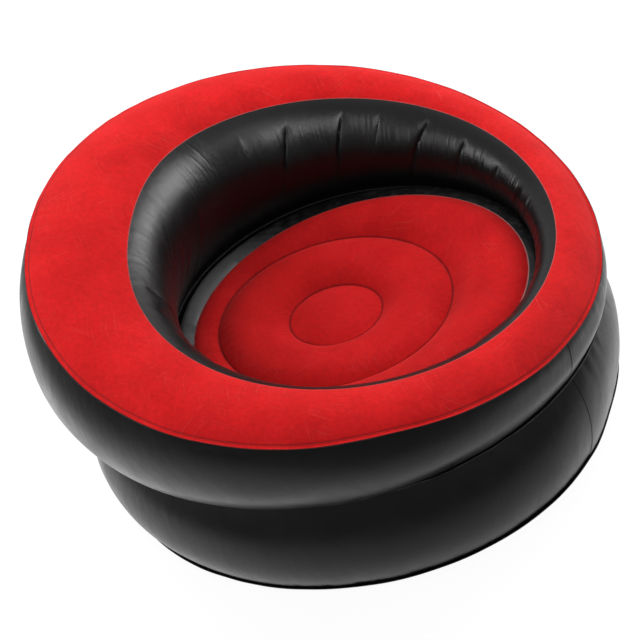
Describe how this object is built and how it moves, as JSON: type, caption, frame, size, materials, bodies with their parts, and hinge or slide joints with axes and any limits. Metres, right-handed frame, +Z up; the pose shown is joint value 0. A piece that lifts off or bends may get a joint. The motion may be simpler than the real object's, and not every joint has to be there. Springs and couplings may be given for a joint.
{
  "type": "inflatable air lounger",
  "caption": "Round one-person inflatable tub lounger: two stacked air rings with a flocked sloping top, a ring-channelled seat cushion and air valves.",
  "frame": {"origin": "middle of the base sheet's underside, on the floor", "axes": "+Z up; -Y the way the sitter faces, towards the low front; +X to the sitter's left"},
  "size_m": [1.1176, 1.0149, 0.5282],
  "materials": {
    "red_flock": "short flocked pile on PVC sheet",
    "black_pvc": "satin PVC sheet",
    "valve_vinyl": "satin moulded vinyl",
    "valve_plastic": "moulded plastic",
    "valve_rubber": "matt rubber"
  },
  "bodies": {
    "chair": {"top_panel": "red_flock", "upper_outer_wall": "black_pvc", "upper_inner_wall": "black_pvc", "ring_divider": "black_pvc", "lower_outer_wall": "black_pvc", "lower_inner_wall": "black_pvc", "base_panel": "black_pvc", "seat_top_panel": "red_flock", "seat_side_wall": "black_pvc", "seat_bottom_panel": "black_pvc", "seat_small_channel_band": "black_pvc", "seat_large_channel_band": "black_pvc", "upper_valve_base": "valve_vinyl", "lower_valve_base": "valve_vinyl", "seat_valve_base": "valve_vinyl"},
    "upper_insert": {"upper_valve_insert": "valve_plastic"},
    "upper_cap": {"upper_valve_cap": "valve_plastic", "upper_valve_strap": "valve_plastic"},
    "upper_flap": {"upper_valve_flap": "valve_rubber"},
    "lower_insert": {"lower_valve_insert": "valve_plastic"},
    "lower_cap": {"lower_valve_cap": "valve_plastic", "lower_valve_strap": "valve_plastic"},
    "lower_flap": {"lower_valve_flap": "valve_rubber"},
    "seat_plug": {"seat_valve_plug": "valve_vinyl"},
    "seat_flap": {"seat_valve_flap": "valve_vinyl"}
  },
  "joints": [
    {"name": "upper_insert_pull", "type": "slide", "parent": "chair", "child": "upper_insert", "axis": [0.11, 0.9936, -0.0257], "range_m": [0, 0.02]},
    {"name": "upper_cap_lift", "type": "slide", "parent": "upper_insert", "child": "upper_cap", "axis": [0.11, 0.9936, -0.0257], "range_m": [0, 0.008]},
    {"name": "upper_flap_open", "type": "slide", "parent": "upper_insert", "child": "upper_flap", "axis": [-0.11, -0.9936, 0.0257], "range_m": [0, 0.002], "stiffness_N_per_m": 20},
    {"name": "lower_insert_pull", "type": "slide", "parent": "chair", "child": "lower_insert", "axis": [0.1323, 0.9899, 0.0499], "range_m": [0, 0.02]},
    {"name": "lower_cap_lift", "type": "slide", "parent": "lower_insert", "child": "lower_cap", "axis": [0.1323, 0.9899, 0.0499], "range_m": [0, 0.008]},
    {"name": "lower_flap_open", "type": "slide", "parent": "lower_insert", "child": "lower_flap", "axis": [-0.1323, -0.9899, -0.0499], "range_m": [0, 0.002], "stiffness_N_per_m": 20},
    {"name": "seat_plug_pull", "type": "slide", "parent": "chair", "child": "seat_plug", "axis": [-0.3578, -0.0403, 0.9329], "range_m": [0, 0.012]},
    {"name": "seat_flap_swing", "type": "hinge", "parent": "chair", "child": "seat_flap", "pos_m": [-0.31227, -0.08504, 0.21867], "axis": [0.1627, -0.9865, 0.0198], "range_deg": [0, 40], "stiffness_Nm_per_rad": 0.001}
  ]
}
